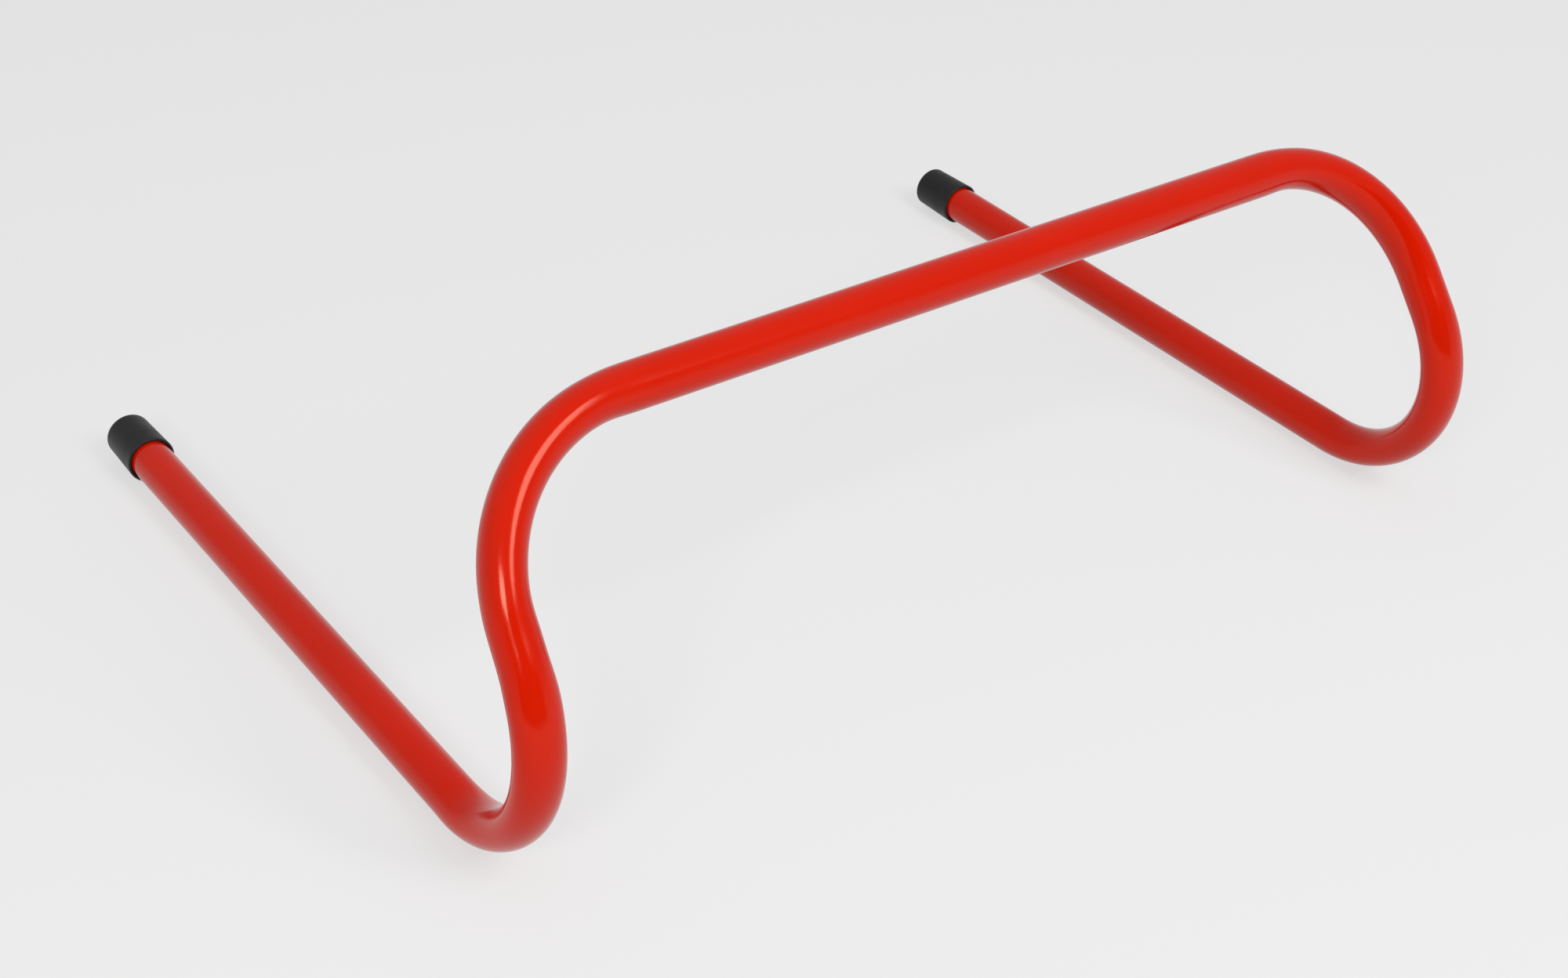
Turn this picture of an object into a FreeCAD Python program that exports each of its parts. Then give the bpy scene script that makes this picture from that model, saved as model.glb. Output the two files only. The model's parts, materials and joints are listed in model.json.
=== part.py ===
import FreeCAD
import Part

import math
import os

# A low training hurdle: one hollow plastic tube, bent into two floor feet, two leaning uprights
# and a crossbar, with a push-on cap closing each end.
# The crossbar lies along X, the feet run to +Y and the floor is z = 0, under the middle of the part.

# Driving dimensions of the tube, in millimetres and degrees
TUBE_OD = 16.5
TUBE_WALL = 1.5
FOOT_SPACING = 417.0
FOOT_STRAIGHT = 265.4
FOOT_BEND_RADIUS = 49.5
BAR_RISE = 136.4
BAR_BEND_RADIUS = 59.5
UPRIGHT_LEAN = 36.7
UPRIGHT_TOE_IN = 3.1

# Driving dimensions of the caps
CAP_LENGTH = 23.4
CAP_BASE = 2.0
CAP_WALL = 1.35
CAP_DRAFT = 1.4
CAP_END_ROUND = 1.2
CAP_LIP_ROUND = 0.5
CAP_FIT = 0.05

# Sizes that follow from them
TUBE_RADIUS = TUBE_OD / 2
CAP_BORE_RADIUS = TUBE_RADIUS + CAP_FIT
CAP_BORE_DEPTH = CAP_LENGTH - CAP_BASE
CAP_MOUTH_RADIUS = CAP_BORE_RADIUS + CAP_WALL
CAP_END_RADIUS = CAP_MOUTH_RADIUS - CAP_LENGTH * math.tan(math.radians(CAP_DRAFT))

SAME_POINT = 1e-6
ALONG_X = FreeCAD.Vector(1, 0, 0)
ALONG_FOOT = FreeCAD.Vector(0, 1, 0)


def bend_points(before, corner, after, radius):
    """Start, middle and end of the arc that rounds the corner between two straight runs."""
    to_before = (before - corner).normalize()
    to_after = (after - corner).normalize()
    half_angle = to_before.getAngle(to_after) / 2
    setback = radius / math.tan(half_angle)
    inward = (to_before + to_after).normalize()
    middle = corner + inward * (radius / math.sin(half_angle) - radius)
    return corner + to_before * setback, middle, corner + to_after * setback


def left_corners():
    """Foot end, foot corner and bar corner of the left half, with the foot lying level at z = 0."""
    foot_x = -FOOT_SPACING / 2
    toe_in = BAR_RISE * math.tan(math.radians(UPRIGHT_TOE_IN))
    lean_back = BAR_RISE * math.tan(math.radians(UPRIGHT_LEAN))
    foot_corner = FreeCAD.Vector(foot_x, 0, 0)
    bar_corner = FreeCAD.Vector(foot_x + toe_in, lean_back, BAR_RISE)
    bend_start = bend_points(foot_corner + ALONG_FOOT, foot_corner, bar_corner, FOOT_BEND_RADIUS)[0]
    return [bend_start + ALONG_FOOT * FOOT_STRAIGHT, foot_corner, bar_corner]


def mirrored(point):
    """The same point on the right half."""
    return FreeCAD.Vector(-point.x, point.y, point.z)


def tube_route(corners, radii):
    """Centreline from foot end to foot end: straight runs joined by tangent arcs."""
    edges = []
    here = corners[0]
    for index, radius in enumerate(radii, start=1):
        start, middle, end = bend_points(corners[index - 1], corners[index], corners[index + 1], radius)
        edges.append(Part.LineSegment(here, start).toShape())
        edges.append(Part.Arc(start, middle, end).toShape())
        here = end
    edges.append(Part.LineSegment(here, corners[-1]).toShape())
    return Part.Wire(edges)


def bent_tube(route):
    """The hollow tube, swept along its centreline from the left foot's end."""
    end = route.OrderedVertexes[0].Point
    outside = Part.Wire(Part.makeCircle(TUBE_RADIUS, end, ALONG_FOOT))
    inside = Part.Wire(Part.makeCircle(TUBE_RADIUS - TUBE_WALL, end, ALONG_FOOT))
    section = Part.Face([outside, inside], "Part::FaceMakerBullseye")
    tube = route.makePipe(section)
    print("tube", round(route.Length, 2), "mm long, volume over section times length",
          round(tube.Volume / (section.Area * route.Length), 6))
    return tube


def end_cap(foot_end):
    """A drafted cup pushed over the tube until its floor meets the tube's end."""
    mouth = foot_end - ALONG_FOOT * CAP_BORE_DEPTH
    closed_end = mouth + ALONG_FOOT * CAP_LENGTH
    cup = Part.makeCone(CAP_MOUTH_RADIUS, CAP_END_RADIUS, CAP_LENGTH, mouth, ALONG_FOOT)
    end_rim = [edge for edge in cup.Edges if edge.CenterOfMass.isEqual(closed_end, SAME_POINT)]
    mouth_rim = [edge for edge in cup.Edges if edge.CenterOfMass.isEqual(mouth, SAME_POINT)]
    cup = cup.makeFillet(CAP_END_ROUND, end_rim)
    cup = cup.makeFillet(CAP_LIP_ROUND, mouth_rim)
    return cup.cut(Part.makeCylinder(CAP_BORE_RADIUS, CAP_BORE_DEPTH, mouth, ALONG_FOOT))


def stand_on_floor(pieces):
    """Tip the feet up onto the fatter caps, and put the floor and the middle of the part at the origin."""
    mouth_from_bend = FOOT_STRAIGHT - CAP_BORE_DEPTH
    slope = math.degrees(math.asin((CAP_MOUTH_RADIUS - TUBE_RADIUS) / mouth_from_bend))
    for shape in pieces.values():
        shape.rotate(FreeCAD.Vector(0, 0, 0), ALONG_X, slope)
    box = Part.makeCompound(list(pieces.values())).optimalBoundingBox(False, False)
    to_origin = FreeCAD.Vector(-box.Center.x, -box.Center.y, -box.ZMin)
    for shape in pieces.values():
        shape.translate(to_origin)
    print("feet slope", round(slope, 4), "degrees, moved by", to_origin)
    print("overall", round(box.XLength, 2), round(box.YLength, 2), round(box.ZLength, 2), "mm")


left = left_corners()
right = [mirrored(point) for point in reversed(left)]
route = tube_route(left + right, [FOOT_BEND_RADIUS, BAR_BEND_RADIUS, BAR_BEND_RADIUS, FOOT_BEND_RADIUS])
pieces = {
    "bent_tube": bent_tube(route),
    "left_end_cap": end_cap(left[0]),
    "right_end_cap": end_cap(right[-1]),
}
stand_on_floor(pieces)

os.makedirs("parts", exist_ok=True)
for name, shape in pieces.items():
    shape.exportStep(f"parts/{name}.step")
    print(name, "solids", len(shape.Solids), "valid", shape.isValid(), "volume", round(shape.Volume, 1))
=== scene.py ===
# %% [markdown]
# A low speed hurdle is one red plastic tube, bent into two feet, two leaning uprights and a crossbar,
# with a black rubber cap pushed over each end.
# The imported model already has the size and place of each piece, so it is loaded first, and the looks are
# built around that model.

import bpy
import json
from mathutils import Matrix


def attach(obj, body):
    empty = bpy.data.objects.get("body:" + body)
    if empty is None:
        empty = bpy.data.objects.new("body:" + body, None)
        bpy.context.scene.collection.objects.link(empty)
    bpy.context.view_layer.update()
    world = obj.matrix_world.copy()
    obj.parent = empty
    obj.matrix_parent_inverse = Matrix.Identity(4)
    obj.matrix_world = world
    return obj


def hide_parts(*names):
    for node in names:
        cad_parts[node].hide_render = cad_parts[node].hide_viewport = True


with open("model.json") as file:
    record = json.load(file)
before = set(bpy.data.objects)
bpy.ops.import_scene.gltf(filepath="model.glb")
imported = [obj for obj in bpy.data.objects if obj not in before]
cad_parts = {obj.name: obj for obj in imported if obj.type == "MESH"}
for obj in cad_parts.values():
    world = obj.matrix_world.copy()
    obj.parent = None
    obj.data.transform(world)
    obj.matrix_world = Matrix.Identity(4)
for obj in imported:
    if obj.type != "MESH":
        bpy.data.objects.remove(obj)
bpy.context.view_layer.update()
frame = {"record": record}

# %% [markdown]
# Three places in the model's record set everything else: the middle of the crossbar, the closed end
# of a cap, and the line along which a cap pulls off, which is also the line of a foot.
# They could be typed in again here, but reading them keeps the looks on the model when a size changes.

# %% Lines and sizes read from the model
import math

from mathutils import Quaternion, Vector

MM = 0.001

mounts = {mount["name"]: mount for mount in frame["record"]["mounts"]}
bar_middle = Vector(mounts["crossbar"]["pos_m"])
tube_radius = mounts["crossbar"]["dims"]["r_mm"] * MM
cap_end = Vector(mounts["left_cap_end"]["pos_m"])
foot_line = Vector(mounts["left_cap_end"]["axis"]).normalized()
print("tube radius:", tube_radius, "crossbar height:", bar_middle.z)

# %% [markdown]
# The photograph looks down on the hurdle from its front left with a lens of middling length.
# The place, aim and roll of the camera were found by laying the model's outline over the
# photograph's, so that the two pictures can be compared point by point.
# The lens has no shift and no depth of field, so the same camera also serves every other view.

# %% Camera
import bpy

CAMERA_PLACE = Vector((-0.4925, -0.6488, 0.54125))
CAMERA_AIM = Vector((-0.0592, -0.0801, 0.06425))
CAMERA_ROLL = math.radians(2.32)
LENS_MM = 55.38
SENSOR_WIDTH_MM = 36.0

scene = bpy.context.scene
camera_data = bpy.data.cameras.new("photograph_camera")
camera_data.lens = LENS_MM
camera_data.sensor_fit = "HORIZONTAL"
camera_data.sensor_width = SENSOR_WIDTH_MM
camera = bpy.data.objects.new("photograph_camera", camera_data)
camera.location = CAMERA_PLACE
camera.rotation_mode = "QUATERNION"
aim_turn = (CAMERA_AIM - CAMERA_PLACE).to_track_quat("-Z", "Y")
camera.rotation_quaternion = aim_turn @ Quaternion((0, 0, 1), CAMERA_ROLL)
scene.collection.objects.link(camera)
scene.camera = camera
scene.view_settings.view_transform = "Standard"
print("camera distance:", (CAMERA_AIM - CAMERA_PLACE).length)

# %% [markdown]
# Every shader, the room and the rule that bends the tube are node trees.
# The first helper empties the tree of a new material or world. The second adds a node of any kind: it
# makes the settings and then fills or links the inputs. The third turns an sRGB hex colour, as a paint
# chart gives it, to the linear values of a shader.

# %% Helpers for node trees and colours
def empty_tree(holder):
    """The node tree of a new material or world, with nothing in it yet."""
    holder.use_nodes = True
    holder.node_tree.nodes.clear()
    return holder.node_tree


def add(tree, kind, inputs=None, **settings):
    """Add a node. An input takes a plain value, an output socket, or a node, whose first output it uses."""
    node = tree.nodes.new(kind)
    for setting, value in settings.items():
        setattr(node, setting, value)
    for key, value in (inputs or {}).items():
        matches = [s for i, s in enumerate(node.inputs) if s.enabled and key in (i, s.name)]
        if isinstance(value, bpy.types.Node):
            value = next(s for s in value.outputs if s.enabled)
        if isinstance(value, bpy.types.NodeSocket):
            tree.links.new(value, matches[0])
        else:
            matches[0].default_value = value
    return node


def colour(hex_code):
    """Linear RGBA of an sRGB hex colour such as #D6200C."""
    channels = [int(hex_code[i:i + 2], 16) / 255 for i in (1, 3, 5)]
    linear = [c / 12.92 if c <= 0.04045 else ((c + 0.055) / 1.055) ** 2.4 for c in channels]
    return (*linear, 1.0)


print("mid grey in linear values:", colour("#808080"))

# %% [markdown]
# The photograph seems to be lit by two softboxes, a wide one over the camera and a tall one to its right.
# Each draws one narrow bright stripe down the left upright and its bend, with crisp sides.
# Their directions and sizes were read from where those stripes start and end on the round tube.
# Area lamps give such stripes, and from under two metres away they leave the far side a little darker.

# %% Lamps
LAMP_DISTANCE = 1.8


def span(angle, distance):
    """Width of what fills an angle, in degrees, when it is looked at from a distance."""
    return 2 * distance * math.tan(math.radians(angle / 2))


def face_hurdle(item, azimuth, elevation, distance):
    """Set a lamp or a board up in the room. Azimuth 0 is in front of the hurdle and 90 is on its right."""
    turn, lift = math.radians(azimuth), math.radians(elevation)
    towards = Vector((math.sin(turn) * math.cos(lift), -math.cos(turn) * math.cos(lift), math.sin(lift)))
    item.location = distance * towards
    item.rotation_mode = "QUATERNION"
    item.rotation_quaternion = towards.to_track_quat("Z", "Y")
    item.visible_camera = False
    scene.collection.objects.link(item)
    return item


def softbox(name, azimuth, elevation, wide, tall, brightness):
    """A softbox that fills two angles when it is looked at from the hurdle."""
    lamp = bpy.data.lights.new(name, "AREA")
    lamp.shape = "RECTANGLE"
    lamp.size = span(wide, LAMP_DISTANCE)
    lamp.size_y = span(tall, LAMP_DISTANCE)
    lamp.energy = brightness * math.pi * lamp.size * lamp.size_y
    return face_hurdle(bpy.data.objects.new(name, lamp), azimuth, elevation, LAMP_DISTANCE)


lamps = [
    softbox("camera_softbox", azimuth=-50, elevation=33.4, wide=16.5, tall=12.5, brightness=16),
    softbox("right_softbox", azimuth=11.6, elevation=46, wide=19, tall=25, brightness=10),
]
print("lamp powers in watts:", [round(lamp.data.energy, 1) for lamp in lamps])

# %% [markdown]
# Below and between the softboxes the photographer's corner of the room is dark. The gloss mirrors it as
# lines of deep red beside the bright stripes, and that contrast is what makes plastic look glossy.
# A studio gets it from a black board, called a flag. One stands here beyond the lamps, where only the
# gloss and the light can see it.

# %% Black flag
FLAG_DISTANCE = 2.2
FLAG_AZIMUTH = -19
FLAG_ELEVATION = 15
FLAG_WIDE = 80
FLAG_TALL = 36
FLAG_BLACK = "#101010"


def flat_sheet(name, wide, tall, material):
    """One flat face about its own middle, which faces along its own Z."""
    x, y = wide / 2, tall / 2
    mesh = bpy.data.meshes.new(name)
    mesh.from_pydata([(-x, -y, 0), (x, -y, 0), (x, y, 0), (-x, y, 0)], [], [(0, 1, 2, 3)])
    mesh.materials.append(material)
    return bpy.data.objects.new(name, mesh)


velvet = bpy.data.materials.new("black_velvet")
cloth = empty_tree(velvet)
dull_black = add(cloth, "ShaderNodeBsdfDiffuse", {"Color": colour(FLAG_BLACK)})
add(cloth, "ShaderNodeOutputMaterial", {"Surface": dull_black})

flag = flat_sheet("black_flag", span(FLAG_WIDE, FLAG_DISTANCE), span(FLAG_TALL, FLAG_DISTANCE), velvet)
face_hurdle(flag, FLAG_AZIMUTH, FLAG_ELEVATION, FLAG_DISTANCE)
print("flag in metres:", [round(side, 2) for side in flag.dimensions])

# %% [markdown]
# Everything else comes from the room: pale walls all round, a little paler behind the hurdle and above.
# A world colour that grows towards the back gives this without any picture of a room.
# Close to the horizon it is even and pale, so that the floor meets a pale background in every view.

# %% Room light
ROOM_LEVEL = 0.40
BACK_GAIN = 0.30
CEILING_GAIN = 0.10
HORIZON_LEVEL = 0.70
HORIZON_TOP = math.sin(math.radians(16))

world = bpy.data.worlds.new("soft_room")
room = empty_tree(world)
direction = add(room, "ShaderNodeTexCoord").outputs["Generated"]
gains = add(
    room, "ShaderNodeVectorMath", {0: direction, 1: (0, BACK_GAIN, CEILING_GAIN)}, operation="DOT_PRODUCT",
)
room_light = add(
    room, "ShaderNodeMath", {0: gains.outputs["Value"], 1: ROOM_LEVEL, 2: ROOM_LEVEL},
    operation="MULTIPLY_ADD",
)
height = add(room, "ShaderNodeSeparateXYZ", {"Vector": direction}).outputs["Z"]
near_horizon = add(
    room, "ShaderNodeMapRange",
    {"Value": height, "From Min": 0.0, "From Max": HORIZON_TOP, "To Min": 1.0, "To Max": 0.0},
    interpolation_type="SMOOTHSTEP",
)
level = add(room, "ShaderNodeMix", {"Factor": near_horizon, "A": room_light, "B": HORIZON_LEVEL})
sky = add(room, "ShaderNodeBackground", {"Color": (1, 1, 1, 1), "Strength": level})
add(room, "ShaderNodeOutputWorld", {"Surface": sky})
scene.world = world
print("room nodes:", len(room.nodes))

# %% [markdown]
# The floor is a wide sheet of pale paper. It is one large flat face, with no grain to draw the eye.
# White paper would throw so much light up that the shaded side of the tube would fill in, so the paper
# is light grey and has a share of white glow that only the camera, the gloss and glass can see.
# The rest is lit like any paper, which keeps the hurdle's shadow.

# %% Floor
FLOOR_WIDTH = 30.0
PAPER_GREY = "#CCCCCC"
PAPER_GLOW = 0.60

paper = bpy.data.materials.new("matte_pale_paper")
sheet = empty_tree(paper)
rays = add(sheet, "ShaderNodeLightPath")
seen = rays.outputs["Is Camera Ray"]
for ray in ("Is Glossy Ray", "Is Transmission Ray"):
    seen = add(sheet, "ShaderNodeMath", {0: seen, 1: rays.outputs[ray]}, operation="MAXIMUM")
glow_share = add(sheet, "ShaderNodeMath", {0: seen, 1: PAPER_GLOW}, operation="MULTIPLY")
matte = add(sheet, "ShaderNodeBsdfDiffuse", {"Color": colour(PAPER_GREY)})
glow = add(sheet, "ShaderNodeEmission", {"Color": (1, 1, 1, 1), "Strength": 1.0})
pale = add(sheet, "ShaderNodeMixShader", {0: glow_share, 1: matte, 2: glow})
add(sheet, "ShaderNodeOutputMaterial", {"Surface": pale})

floor = flat_sheet("paper_floor", FLOOR_WIDTH, FLOOR_WIDTH, paper)
scene.collection.objects.link(floor)
print("floor width in metres:", FLOOR_WIDTH)

# %% [markdown]
# The tube is rigid PVC, coloured all through. It was pushed hot through a ring-shaped die, which leaves
# a glossy skin with very fine lines along the tube, and later bent hot, which leaves a slight
# orange-peel unevenness and a skin that is a little duller and paler where it was stretched most.
# The patterns follow the tube, so they read coordinates that the tube carries with it, and not its
# place in the room: x and y are the place round the tube, and z is the length along it.

# %% Material of the tube
TUBE_COORDINATES = "tube_coordinates"
TUBE_STRETCH = "tube_stretch"

# Extruded PVC: an even, saturated red under a clear gloss, with reflections that are nearly crisp.
PVC_RED = "#D31B00"
PVC_RED_DEEP = "#CA1700"
PVC_RED_STRETCHED = "#C42410"
PVC_GLOSS = "#FFC4A8"
PVC_IOR = 1.53
PVC_SPECULAR = 0.36
PVC_ROUGHNESS = (0.12, 0.18)
# Die lines are far finer than a pixel of the render, so they are drawn 1.6 mm apart.
DIE_LINE_SPACING = 1.6 * MM
DIE_LINE_LENGTH = 120 * MM
DIE_LINE_HEIGHT = 0.003 * MM
PEEL_WIDTH = 2.5 * MM
PEEL_HEIGHT = 0.012 * MM
BLOTCH_WIDTH = 30 * MM
# Most of a noise pattern lies between these values of its range from 0 to 1.
NOISE_LOW = 0.3
NOISE_HIGH = 0.7

pvc = bpy.data.materials.new("extruded_red_pvc")
skin = empty_tree(pvc)
along_tube = add(skin, "ShaderNodeAttribute", attribute_name=TUBE_COORDINATES).outputs["Vector"]
line_scale = (1 / DIE_LINE_SPACING, 1 / DIE_LINE_SPACING, 1 / DIE_LINE_LENGTH)
line_place = add(skin, "ShaderNodeMapping", {"Vector": along_tube, "Scale": line_scale})
die_lines = add(skin, "ShaderNodeTexNoise", {"Vector": line_place, "Scale": 1.0, "Detail": 2.0})
peel = add(skin, "ShaderNodeTexNoise", {"Vector": along_tube, "Scale": 1 / PEEL_WIDTH, "Detail": 1.0})
blotches = add(skin, "ShaderNodeTexNoise", {"Vector": along_tube, "Scale": 1 / BLOTCH_WIDTH, "Detail": 3.0})
print("patterns on the tube:", [node.name for node in (die_lines, peel, blotches)])

# %% Colour, gloss and relief of the tube
STRETCH_FULL = 0.16
STRETCH_PALING = 0.25

stretch = add(skin, "ShaderNodeAttribute", attribute_name=TUBE_STRETCH).outputs["Fac"]
paling = add(
    skin, "ShaderNodeMapRange",
    {"Value": stretch, "From Min": 0.0, "From Max": STRETCH_FULL, "To Min": 0.0, "To Max": STRETCH_PALING},
)
dyed = add(
    skin, "ShaderNodeMix",
    {"Factor": blotches, "A": colour(PVC_RED), "B": colour(PVC_RED_DEEP)}, data_type="RGBA",
)
red = add(
    skin, "ShaderNodeMix",
    {"Factor": paling, "A": dyed, "B": colour(PVC_RED_STRETCHED)}, data_type="RGBA",
)
dulled = add(
    skin, "ShaderNodeMapRange",
    {"Value": die_lines, "From Min": NOISE_LOW, "From Max": NOISE_HIGH,
     "To Min": PVC_ROUGHNESS[0], "To Max": PVC_ROUGHNESS[1]},
)
peel_relief = add(
    skin, "ShaderNodeBump", {"Height": peel, "Distance": PEEL_HEIGHT, "Strength": 1.0},
)
relief = add(
    skin, "ShaderNodeBump",
    {"Height": die_lines, "Distance": DIE_LINE_HEIGHT, "Strength": 1.0, "Normal": peel_relief},
)
plastic = add(
    skin, "ShaderNodeBsdfPrincipled",
    {"Base Color": red, "Roughness": dulled, "IOR": PVC_IOR, "Specular IOR Level": PVC_SPECULAR,
     "Specular Tint": colour(PVC_GLOSS), "Normal": relief},
)
add(skin, "ShaderNodeOutputMaterial", {"Surface": plastic})
print("material:", pvc.name)

# %% [markdown]
# The tube follows one route: along a foot, up an upright, across the bar and down to the other foot.
# Its six corner points come from the record's lines and from how far the uprights lean back and in.
# A swept curve with a bevel would be quicker, but a bent tube is no perfect round: it flattens in each
# bend, more so where the bend is tight. Geometry Nodes can measure the bend and flatten the tube by rule.

# %% Corner points of the tube's route
CAP_BASE = 2.0 * MM
FOOT_BEND_RADIUS = 49.5 * MM
BAR_BEND_RADIUS = 59.5 * MM
UPRIGHT_LEAN = math.radians(36.7)
UPRIGHT_TOE_IN = math.radians(3.1)

foot_up = Vector((0, -foot_line.z, foot_line.y))
foot_end = cap_end - foot_line * CAP_BASE
rise = (bar_middle - foot_end).dot(foot_up)
foot_length = (foot_end - bar_middle).dot(foot_line) + rise * math.tan(UPRIGHT_LEAN)
foot_corner = foot_end - foot_line * foot_length
bar_corner = Vector((foot_end.x + rise * math.tan(UPRIGHT_TOE_IN), bar_middle.y, bar_middle.z))

left_half = [foot_end, foot_corner, bar_corner]
right_half = [Vector((-point.x, point.y, point.z)) for point in reversed(left_half)]
route_points = left_half + right_half
route_radii = [0.0, FOOT_BEND_RADIUS, BAR_BEND_RADIUS, BAR_BEND_RADIUS, FOOT_BEND_RADIUS, 0.0]
print("route corners:", [tuple(round(x, 4) for x in point) for point in route_points])

# %% The route as a mesh of points and edges
BEND_RADIUS = "bend_radius"

route_mesh = bpy.data.meshes.new("red_tube")
route_edges = [(i, i + 1) for i in range(len(route_points) - 1)]
route_mesh.from_pydata(route_points, route_edges, [])
radii = route_mesh.attributes.new(BEND_RADIUS, "FLOAT", "POINT")
radii.data.foreach_set("value", route_radii)
tube = bpy.data.objects.new("red_tube", route_mesh)
scene.collection.objects.link(tube)
print("route edges:", len(route_edges))

# %% [markdown]
# The rule has four steps. The route's corners are rounded and the line is cut into short, even steps.
# At each step the turn of the tangent gives the bend, as a vector that points to the inside of the bend.
# A circle is swept along the line, and the place on the tube and the stretch of the skin are stored for
# the material. Last, each ring is pressed in along that vector and spread across it, by a share that
# grows with the square of the bend, as it does in real tube.

# %% Inputs of the bending rule
rule = bpy.data.node_groups.new("bent_tube_rule", "GeometryNodeTree")
rule.interface.new_socket("Route", in_out="INPUT", socket_type="NodeSocketGeometry")
rule.interface.new_socket("Tube", in_out="OUTPUT", socket_type="NodeSocketGeometry")
RULE_SIZES = {
    "Tube radius": ("NodeSocketFloat", tube_radius),
    "Ring spacing": ("NodeSocketFloat", 2.5 * MM),
    "Flattening": ("NodeSocketFloat", 3.1),
    "Sides": ("NodeSocketInt", 64),
    "Material": ("NodeSocketMaterial", pvc),
}
identifiers = {}
for size, (kind, value) in RULE_SIZES.items():
    identifiers[size] = rule.interface.new_socket(size, in_out="INPUT", socket_type=kind).identifier
given = add(rule, "NodeGroupInput").outputs
print("inputs of the rule:", identifiers)

# %% Line of the tube and its bend
ARC_STEPS = 48
BEND_EASING = 5

line = add(rule, "GeometryNodeMeshToCurve", {"Mesh": given["Route"]})
corner_radius = add(rule, "GeometryNodeInputNamedAttribute", {"Name": BEND_RADIUS}, data_type="FLOAT")
rounded = add(
    rule, "GeometryNodeFilletCurve",
    {"Curve": line, "Count": ARC_STEPS, "Radius": corner_radius}, mode="POLY",
)
stepped = add(
    rule, "GeometryNodeResampleCurve", {"Curve": rounded, "Length": given["Ring spacing"]}, mode="LENGTH",
)
tangent = add(rule, "GeometryNodeInputTangent")
tangents = []
for step in (1, -1):
    place = add(rule, "GeometryNodeOffsetPointInCurve", {"Offset": step}).outputs["Point Index"]
    tangents.append(add(
        rule, "GeometryNodeFieldAtIndex", {"Value": tangent, "Index": place},
        data_type="FLOAT_VECTOR", domain="POINT",
    ))
turn = add(rule, "ShaderNodeVectorMath", {0: tangents[0], 1: tangents[1]}, operation="SUBTRACT")
per_step = add(rule, "ShaderNodeMath", {0: 0.5, 1: given["Ring spacing"]}, operation="DIVIDE")
sharp_bend = add(rule, "ShaderNodeVectorMath", {0: turn, "Scale": per_step}, operation="SCALE")
bend = add(
    rule, "GeometryNodeBlurAttribute", {"Value": sharp_bend, "Iterations": BEND_EASING},
    data_type="FLOAT_VECTOR",
)
print("nodes so far:", len(rule.nodes))

# %% Sweep the circle along the line
kept_line = add(rule, "GeometryNodeCaptureAttribute", {"Geometry": stepped})
length = add(rule, "GeometryNodeSplineParameter").outputs["Length"]
position = add(rule, "GeometryNodeInputPosition")
line_facts = {"centre": ("VECTOR", position.outputs[0]), "bend": ("VECTOR", bend.outputs[0]),
              "length": ("FLOAT", length)}
for fact, (kind, source) in line_facts.items():
    kept_line.capture_items.new(kind, fact)
    rule.links.new(source, kept_line.inputs[fact])

circle = add(
    rule, "GeometryNodeCurvePrimitiveCircle",
    {"Resolution": given["Sides"], "Radius": given["Tube radius"]}, mode="RADIUS",
)
kept_circle = add(rule, "GeometryNodeCaptureAttribute", {"Geometry": circle.outputs["Curve"]})
kept_circle.capture_items.new("VECTOR", "round")
rule.links.new(position.outputs[0], kept_circle.inputs["round"])
swept = add(
    rule, "GeometryNodeCurveToMesh",
    {"Curve": kept_line.outputs["Geometry"], "Profile Curve": kept_circle.outputs["Geometry"]},
)
print("facts kept on the line:", list(line_facts))

# %% Store what the material reads
outward = add(
    rule, "ShaderNodeVectorMath", {0: position, 1: kept_line.outputs["centre"]}, operation="SUBTRACT",
)
round_parts = add(rule, "ShaderNodeSeparateXYZ", {"Vector": kept_circle.outputs["round"]}).outputs
on_tube = add(
    rule, "ShaderNodeCombineXYZ",
    {"X": round_parts["X"], "Y": round_parts["Y"], "Z": kept_line.outputs["length"]},
)
inner_squeeze = add(
    rule, "ShaderNodeVectorMath", {0: outward, 1: kept_line.outputs["bend"]}, operation="DOT_PRODUCT",
)
outer_stretch = add(
    rule, "ShaderNodeMath", {0: inner_squeeze.outputs["Value"], 1: -1.0}, operation="MULTIPLY",
)
placed = add(
    rule, "GeometryNodeStoreNamedAttribute",
    {"Geometry": swept, "Name": TUBE_COORDINATES, "Value": on_tube}, data_type="FLOAT_VECTOR",
)
strained = add(
    rule, "GeometryNodeStoreNamedAttribute",
    {"Geometry": placed, "Name": TUBE_STRETCH, "Value": outer_stretch}, data_type="FLOAT",
)
print("stored on the tube:", [TUBE_COORDINATES, TUBE_STRETCH])

# %% Flatten the bends, and finish the rule
inside = add(rule, "ShaderNodeVectorMath", {0: kept_line.outputs["bend"]}, operation="NORMALIZE")
depth = add(rule, "ShaderNodeVectorMath", {0: outward, 1: inside}, operation="DOT_PRODUCT").outputs["Value"]
bend_size = add(rule, "ShaderNodeVectorMath", {0: kept_line.outputs["bend"]}, operation="LENGTH")
bend_ratio = add(
    rule, "ShaderNodeMath", {0: bend_size.outputs["Value"], 1: given["Tube radius"]}, operation="MULTIPLY",
)
bend_square = add(rule, "ShaderNodeMath", {0: bend_ratio, 1: 2.0}, operation="POWER")
share = add(rule, "ShaderNodeMath", {0: bend_square, 1: given["Flattening"]}, operation="MULTIPLY")
spread = add(rule, "ShaderNodeVectorMath", {0: outward, "Scale": share}, operation="SCALE")
press = add(rule, "ShaderNodeMath", {0: depth, 1: share}, operation="MULTIPLY")
press_twice = add(rule, "ShaderNodeMath", {0: press, 1: -2.0}, operation="MULTIPLY")
pressed = add(rule, "ShaderNodeVectorMath", {0: inside, "Scale": press_twice}, operation="SCALE")
shift = add(rule, "ShaderNodeVectorMath", {0: spread, 1: pressed}, operation="ADD")
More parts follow.
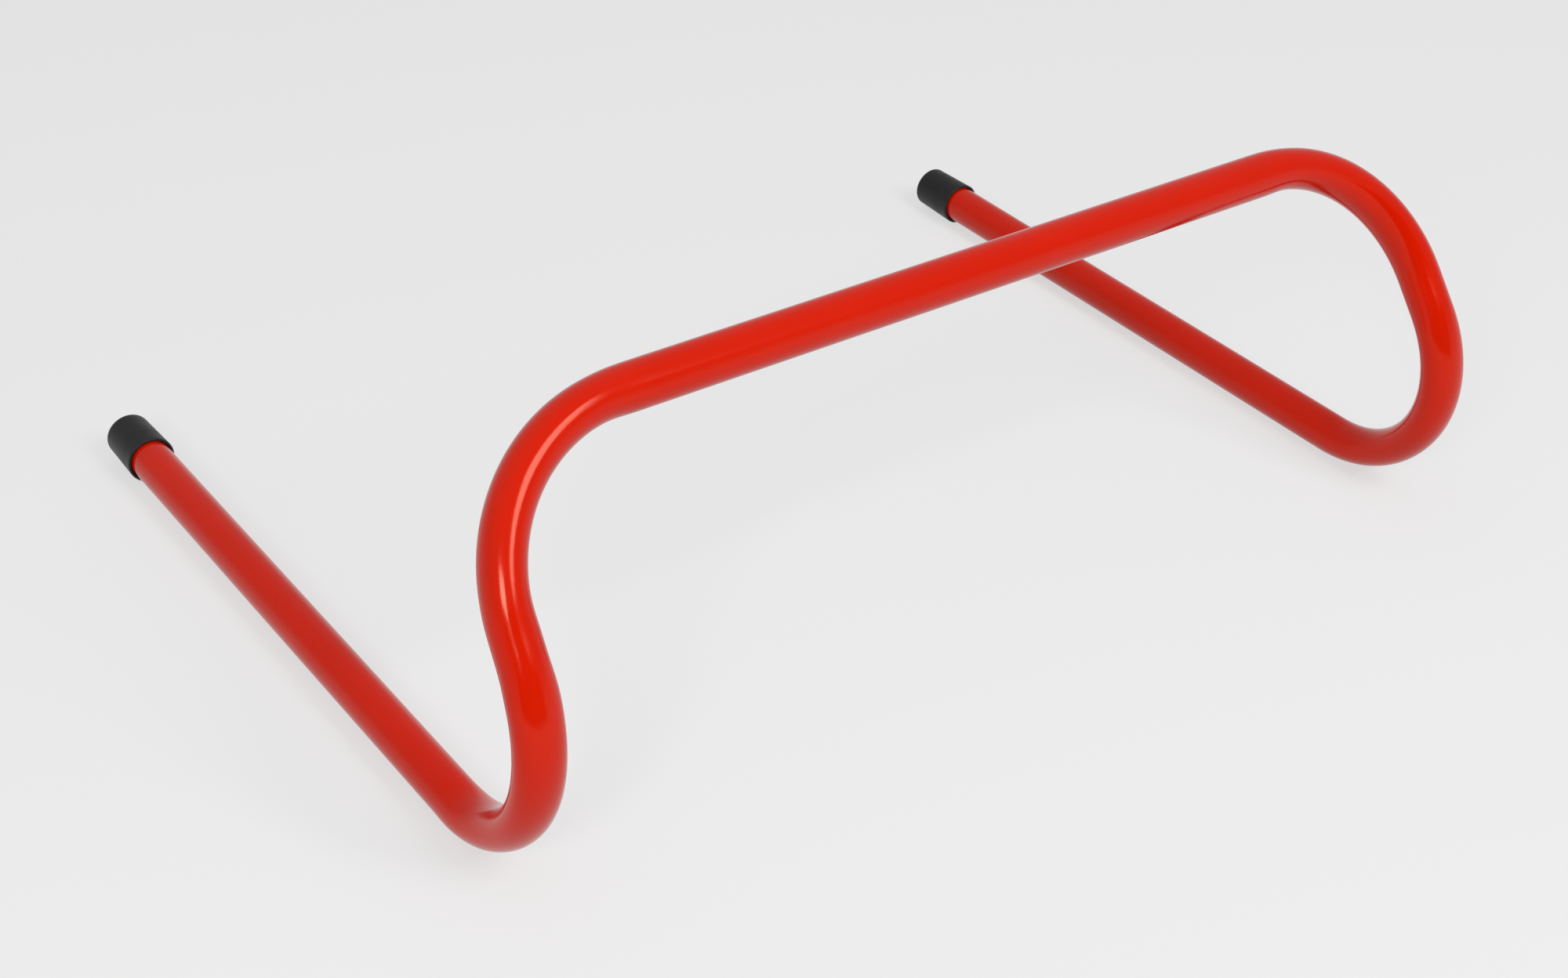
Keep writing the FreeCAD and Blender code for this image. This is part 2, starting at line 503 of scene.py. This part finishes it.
flattened = add(rule, "GeometryNodeSetPosition", {"Geometry": strained, "Offset": shift})
smooth = add(rule, "GeometryNodeSetShadeSmooth", {"Geometry": flattened})
whole = add(rule, "GeometryNodeRealizeInstances", {"Geometry": smooth})
finished = add(rule, "GeometryNodeSetMaterial", {"Geometry": whole, "Material": given["Material"]})
add(rule, "NodeGroupOutput", {"Tube": finished})
print("nodes in the rule:", len(rule.nodes))

# %% [markdown]
# The rule makes the outer skin only. A Solidify modifier gives it the real wall, inwards, and closes
# the sawn ends, which show when a cap is pulled off. The result is turned into a plain mesh, and edges
# that turn sharply, such as those of the sawn ends, are marked so that they stay crisp.

# %% Run the rule and give the tube its wall
TUBE_WALL = 1.5 * MM
CRISP_ANGLE = math.radians(35)

bending = tube.modifiers.new("bending", "NODES")
bending.node_group = rule
for size, (kind, value) in RULE_SIZES.items():
    bending[identifiers[size]] = value
walling = tube.modifiers.new("wall", "SOLIDIFY")
walling.thickness = TUBE_WALL
walling.offset = -1.0
tube_mesh = bpy.data.meshes.new_from_object(tube.evaluated_get(bpy.context.evaluated_depsgraph_get()))
tube.modifiers.clear()
tube.data = tube_mesh
tube_mesh.set_sharp_from_angle(angle=CRISP_ANGLE)
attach(tube, "tube")
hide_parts("bent_tube")
print("tube faces:", len(tube_mesh.polygons))

# %% [markdown]
# Each cap is a cup moulded in black rubber and pushed over the tube's end. Its skin is satin, with a
# fine grain from the mould, and a faint greyish bloom in patches.
# The rims are a little paler, in patches, so the cap's mesh carries a value that is 1 on its rims.

# %% Material of the caps
PALE_RIM = "pale_rim"

# Moulded rubber: a near-black satin with broad, weak highlights and a faint grey bloom.
RUBBER_BLACK = "#141414"
RUBBER_BLOOM = "#1E1E1F"
# The paler black that the rims are coloured with.
RUBBER_RIM_PALE = "#242425"
RUBBER_IOR = 1.52
RUBBER_SPECULAR = 0.28
RUBBER_ROUGHNESS = (0.38, 0.50)
GRAIN_WIDTH = 0.9 * MM
GRAIN_HEIGHT = 0.01 * MM
BLOOM_WIDTH = 6 * MM

rubber = bpy.data.materials.new("moulded_black_rubber")
cup = empty_tree(rubber)
on_cap = add(cup, "ShaderNodeTexCoord").outputs["Object"]
grain = add(cup, "ShaderNodeTexNoise", {"Vector": on_cap, "Scale": 1 / GRAIN_WIDTH, "Detail": 2.0})
bloom = add(cup, "ShaderNodeTexNoise", {"Vector": on_cap, "Scale": 1 / BLOOM_WIDTH, "Detail": 4.0})
# The rims are coloured a little paler, in patches of the bloom.
rim_share = add(cup, "ShaderNodeAttribute", attribute_name=PALE_RIM).outputs["Fac"]
pale_rim_patches = add(cup, "ShaderNodeMath", {0: rim_share, 1: bloom}, operation="MULTIPLY")
dusty = add(
    cup, "ShaderNodeMix",
    {"Factor": bloom, "A": colour(RUBBER_BLACK), "B": colour(RUBBER_BLOOM)}, data_type="RGBA",
)
black = add(
    cup, "ShaderNodeMix",
    {"Factor": pale_rim_patches, "A": dusty, "B": colour(RUBBER_RIM_PALE)}, data_type="RGBA",
)
satin = add(
    cup, "ShaderNodeMapRange",
    {"Value": bloom, "From Min": NOISE_LOW, "From Max": NOISE_HIGH,
     "To Min": RUBBER_ROUGHNESS[0], "To Max": RUBBER_ROUGHNESS[1]},
)
grain_relief = add(cup, "ShaderNodeBump", {"Height": grain, "Distance": GRAIN_HEIGHT, "Strength": 1.0})
moulded = add(
    cup, "ShaderNodeBsdfPrincipled",
    {"Base Color": black, "Roughness": satin, "IOR": RUBBER_IOR, "Specular IOR Level": RUBBER_SPECULAR,
     "Normal": grain_relief},
)
add(cup, "ShaderNodeOutputMaterial", {"Surface": moulded})
print("material:", rubber.name)

# %% [markdown]
# A cap is round, so it is turned like work on a lathe: an outline is drawn from the middle of the
# closed end, over the rim, along the slightly tapered side, round the lip and back down the bore.
# Each point of the outline gives its depth from the closed end, its radius and its share of the paler rim
# colour.
# The shallow dish in the closed end is the mark that a mould's gate leaves, and the sloping start of
# the bore, which helps the cap over the tube, shows as a dark line round the mouth.

# %% Outline of a cap
CAP_LENGTH = 23.4 * MM
CAP_FIT = 0.05 * MM
CAP_WALL = 1.35 * MM
CAP_TAPER = math.radians(1.4)
END_ROUND = 1.2 * MM
LIP_ROUND = 0.5 * MM
LEAD_IN = 0.5 * MM
LEAD_IN_DEPTH = 1.0 * MM
GATE_RADIUS = 1.6 * MM
GATE_FLOOR_RADIUS = 1.28 * MM
GATE_DEPTH = 0.3 * MM
# The paler colour of the end's rim fades out by this share of the end's radius.
PALE_RIM_LIMIT = 0.6
ROUND_STEPS = 8
SIDE_STEPS = 12

bore_radius = tube_radius + CAP_FIT
mouth_radius = bore_radius + CAP_WALL
end_radius = mouth_radius - CAP_LENGTH * math.tan(CAP_TAPER)
side_lean = math.degrees(CAP_TAPER)


def rounded_corner(depth, radius, size, start, end):
    """Points on an arc about (depth, radius), between two angles in degrees from the pull-off line."""
    angles = [math.radians(start + (end - start) * i / ROUND_STEPS) for i in range(ROUND_STEPS + 1)]
    return [(depth - size * math.cos(a), radius + size * math.sin(a), 1.0) for a in angles]


outline = [(GATE_DEPTH, 0.0, 0.0), (GATE_DEPTH, GATE_FLOOR_RADIUS, 0.0), (0.0, GATE_RADIUS, 0.0)]
outline += [(0.0, PALE_RIM_LIMIT * end_radius, 0.0)]
outline += rounded_corner(END_ROUND, end_radius - END_ROUND, END_ROUND, 0, 90 - side_lean)
side_start = outline[-1]
lip = rounded_corner(CAP_LENGTH - LIP_ROUND, mouth_radius - LIP_ROUND, LIP_ROUND, 90 - side_lean, 180)
for i in range(1, SIDE_STEPS):
    share_along = i / SIDE_STEPS
    depth_here = side_start[0] + (lip[0][0] - side_start[0]) * share_along
    radius_here = side_start[1] + (lip[0][1] - side_start[1]) * share_along
    outline.append((depth_here, radius_here, 0.0))
outline += lip
outline += [(CAP_LENGTH, bore_radius + LEAD_IN, 0.0), (CAP_LENGTH - LEAD_IN_DEPTH, bore_radius, 0.0)]
outline += [(CAP_BASE, bore_radius, 0.0), (CAP_BASE, 0.0, 0.0)]
print("points on a cap's outline:", len(outline))

# %% Turn the caps
import bmesh

CAP_SIDES = 96


def turned_cap(name, end):
    """A closed mesh: the outline turned about the line through a cap's closed end."""
    across = Vector((1, 0, 0))
    upward = across.cross(foot_line)
    work = bmesh.new()
    rim_layer = work.verts.layers.float.new(PALE_RIM)
    rings = []
    for depth_here, radius_here, rim_share_here in outline:
        count = CAP_SIDES if radius_here > 0 else 1
        ring = []
        for i in range(count):
            a = 2 * math.pi * i / CAP_SIDES
            arm = across * math.cos(a) + upward * math.sin(a)
            point = work.verts.new(end - foot_line * depth_here + arm * radius_here)
            point[rim_layer] = rim_share_here
            ring.append(point)
        rings.append(ring)
    for near, far in zip(rings, rings[1:]):
        for i in range(CAP_SIDES):
            corners = [near[i % len(near)], near[(i + 1) % len(near)],
                       far[(i + 1) % len(far)], far[i % len(far)]]
            work.faces.new(list(dict.fromkeys(corners))).smooth = True
    bmesh.ops.recalc_face_normals(work, faces=work.faces)
    mesh = bpy.data.meshes.new(name)
    work.to_mesh(mesh)
    work.free()
    mesh.set_sharp_from_angle(angle=CRISP_ANGLE)
    mesh.materials.append(rubber)
    piece = bpy.data.objects.new(name, mesh)
    scene.collection.objects.link(piece)
    return piece


for side in ("left", "right"):
    cap = turned_cap(f"{side}_rubber_cap", Vector(mounts[f"{side}_cap_end"]["pos_m"]))
    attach(cap, f"{side}_cap")
    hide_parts(f"{side}_end_cap")
    print(cap.name, "faces:", len(cap.data.polygons))

# %% [markdown]

# %% One more import
import json
